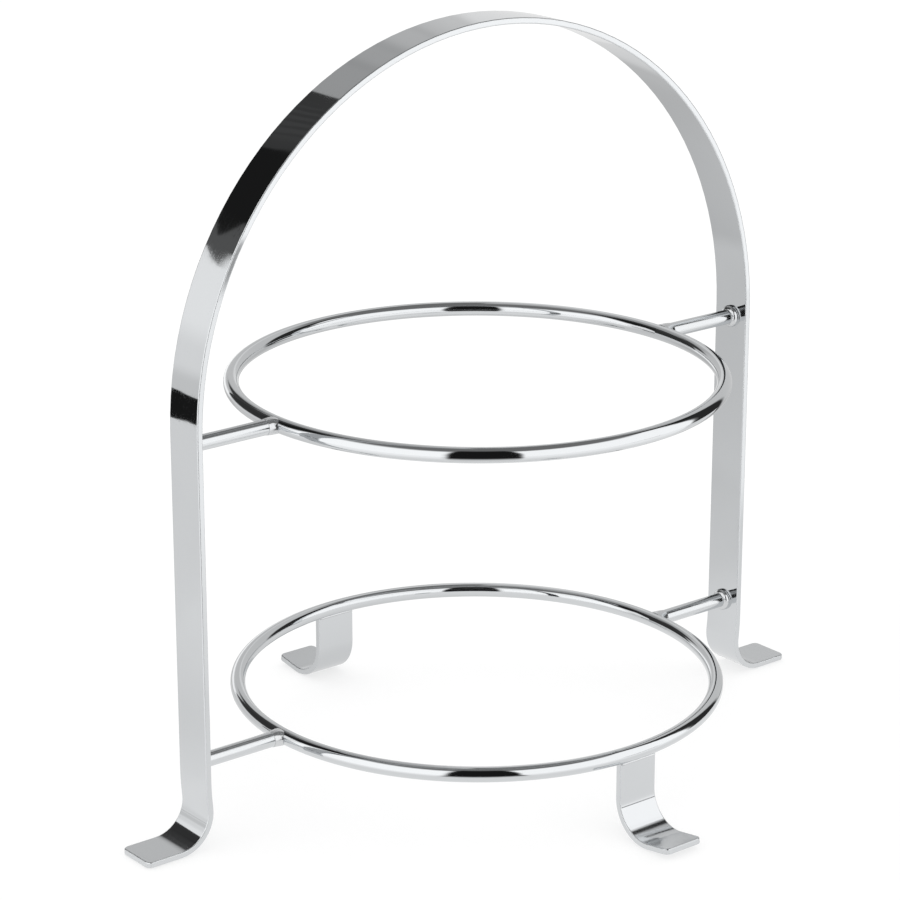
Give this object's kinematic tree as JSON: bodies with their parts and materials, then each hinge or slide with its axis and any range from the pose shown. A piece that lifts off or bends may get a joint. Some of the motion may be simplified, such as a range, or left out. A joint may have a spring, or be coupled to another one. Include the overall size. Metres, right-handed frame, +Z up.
{
  "type": "tiered cake stand",
  "caption": "Chromed tiered cake stand: a bent flat-bar arch carries a wire ring for a plate on each tier, with short curled legs under the lower ring.",
  "frame": {"origin": "on the table, under the middle of the stand", "axes": "+Z up; X along the arch from the left post to the right post; Y across the bar, the short front leg on -Y"},
  "size_m": [0.275, 0.2072, 0.25],
  "materials": {
    "polished_flat_bar": "bright chrome plate on polished flat steel bar",
    "polished_wire": "bright chrome plate on drawn steel wire",
    "plated_weld": "chrome plate over a small rounded weld"
  },
  "bodies": {
    "root": {"arch_strap": "polished_flat_bar", "upper_ring": "polished_wire", "lower_ring": "polished_wire", "front_leg": "polished_flat_bar", "rear_leg": "polished_flat_bar", "lower_left_rod": "polished_wire", "lower_left_collar_weld": "plated_weld", "lower_left_saddle_weld": "plated_weld", "lower_right_rod": "polished_wire", "lower_right_collar_weld": "plated_weld", "lower_right_saddle_weld": "plated_weld", "upper_left_rod": "polished_wire", "upper_left_collar_weld": "plated_weld", "upper_left_saddle_weld": "plated_weld", "upper_right_rod": "polished_wire", "upper_right_collar_weld": "plated_weld", "upper_right_saddle_weld": "plated_weld", "front_leg_outer_weld": "plated_weld", "front_leg_inner_weld": "plated_weld", "rear_leg_outer_weld": "plated_weld", "rear_leg_inner_weld": "plated_weld"}
  },
  "joints": []
}
